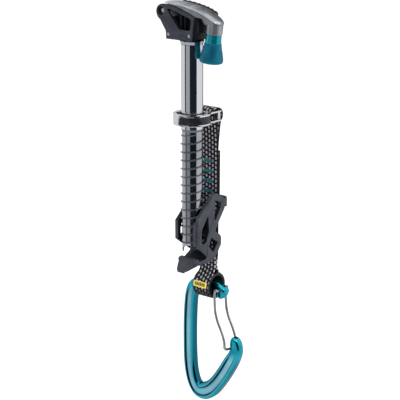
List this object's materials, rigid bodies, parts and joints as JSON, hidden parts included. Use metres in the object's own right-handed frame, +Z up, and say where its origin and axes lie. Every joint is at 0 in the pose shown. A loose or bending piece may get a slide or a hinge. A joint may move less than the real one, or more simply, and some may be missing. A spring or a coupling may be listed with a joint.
{
  "type": "climbing quickdraw ice screw",
  "caption": "Tubular ice screw with folding crank head, sliding swivel ring, sewn webbing sling, clip-on tooth protector and wire-gate carabiner",
  "frame": {"origin": "on the screw tube's axis, in the plane of the tooth tips", "axes": "+Z runs up the tube from the teeth to the head; +X is the side the folded crank and the carabiner's gate point to; +Y is the side the sling hangs on"},
  "size_m": [0.0597, 0.0448, 0.3203],
  "materials": {
    "polished_steel": "mirror polished",
    "pin_steel": "bright",
    "head_black": "satin black",
    "core_black": "moulded black",
    "crank_gunmetal": "satin grey anodised",
    "cover_black": "moulded black",
    "teal_anodised": "gloss teal anodised",
    "teal_grip": "matte teal",
    "ring_steel": "polished",
    "band_black": "black",
    "liner_nylon": "black nylon",
    "sling_webbing": "woven black with pale dashes",
    "tack_thread": "teal thread",
    "label_yellow": "printed yellow",
    "keeper_rubber": "black",
    "protector_plastic": "slate grey moulded",
    "carabiner_anodised": "gloss teal anodised",
    "gate_wire_steel": "bright wire"
  },
  "bodies": {
    "screw": {"screw_tube": "polished_steel", "hanger_front_plate": "head_black", "hanger_back_plate": "head_black", "hanger_core": "core_black", "hanger_rivet_left": "pin_steel", "hanger_rivet_right": "pin_steel", "crank_pivot_pin": "pin_steel"},
    "crank": {"crank_arm": "crank_gunmetal", "crank_arm_cover": "cover_black", "knob_axle": "pin_steel"},
    "knob": {"knob_ferrule": "teal_anodised", "knob_grip": "teal_grip"},
    "slider": {"ring_liner": "liner_nylon"},
    "ring": {"ring_frame": "ring_steel", "ring_band": "band_black"},
    "sling": {"sling_webbing": "sling_webbing", "sling_bar_tack_1": "tack_thread", "sling_bar_tack_2": "tack_thread", "sling_bar_tack_3": "tack_thread", "sling_bar_tack_4": "tack_thread", "sling_label": "label_yellow", "carabiner_keeper": "keeper_rubber", "tooth_protector": "protector_plastic"},
    "carabiner": {"carabiner_body": "carabiner_anodised"},
    "gate": {"gate_wire": "gate_wire_steel"}
  },
  "joints": [
    {"name": "crank_fold", "type": "hinge", "parent": "screw", "child": "crank", "pos_m": [-0.0229, 0, 0.1841], "axis": [0, -1, 0], "range_deg": [0, 180]},
    {"name": "knob_spin", "type": "hinge", "parent": "crank", "child": "knob", "pos_m": [0.02101, 0, 0.1699], "axis": [0.1305, 0, 0.9914], "continuous": true},
    {"name": "ring_slide", "type": "slide", "parent": "screw", "child": "slider", "axis": [0, 0, 1], "range_m": [-0.035, 0]},
    {"name": "ring_swivel", "type": "hinge", "parent": "slider", "child": "ring", "pos_m": [0, 0, 0.1047], "axis": [0, 0, 1], "continuous": true},
    {"name": "sling_swing", "type": "hinge", "parent": "ring", "child": "sling", "pos_m": [0, 0.0202, 0.1047], "axis": [1, 0, 0], "range_deg": [0, 85]},
    {"name": "carabiner_swing", "type": "hinge", "parent": "sling", "child": "carabiner", "pos_m": [0, 0.021, -0.0312], "axis": [1, 0, 0], "range_deg": [-60, 60]},
    {"name": "gate_open", "type": "hinge", "parent": "carabiner", "child": "gate", "pos_m": [0.0126, 0.021, -0.033], "axis": [0, 1, 0], "range_deg": [0, 15], "stiffness_Nm_per_rad": 0.06, "springref_deg": -20.05}
  ]
}
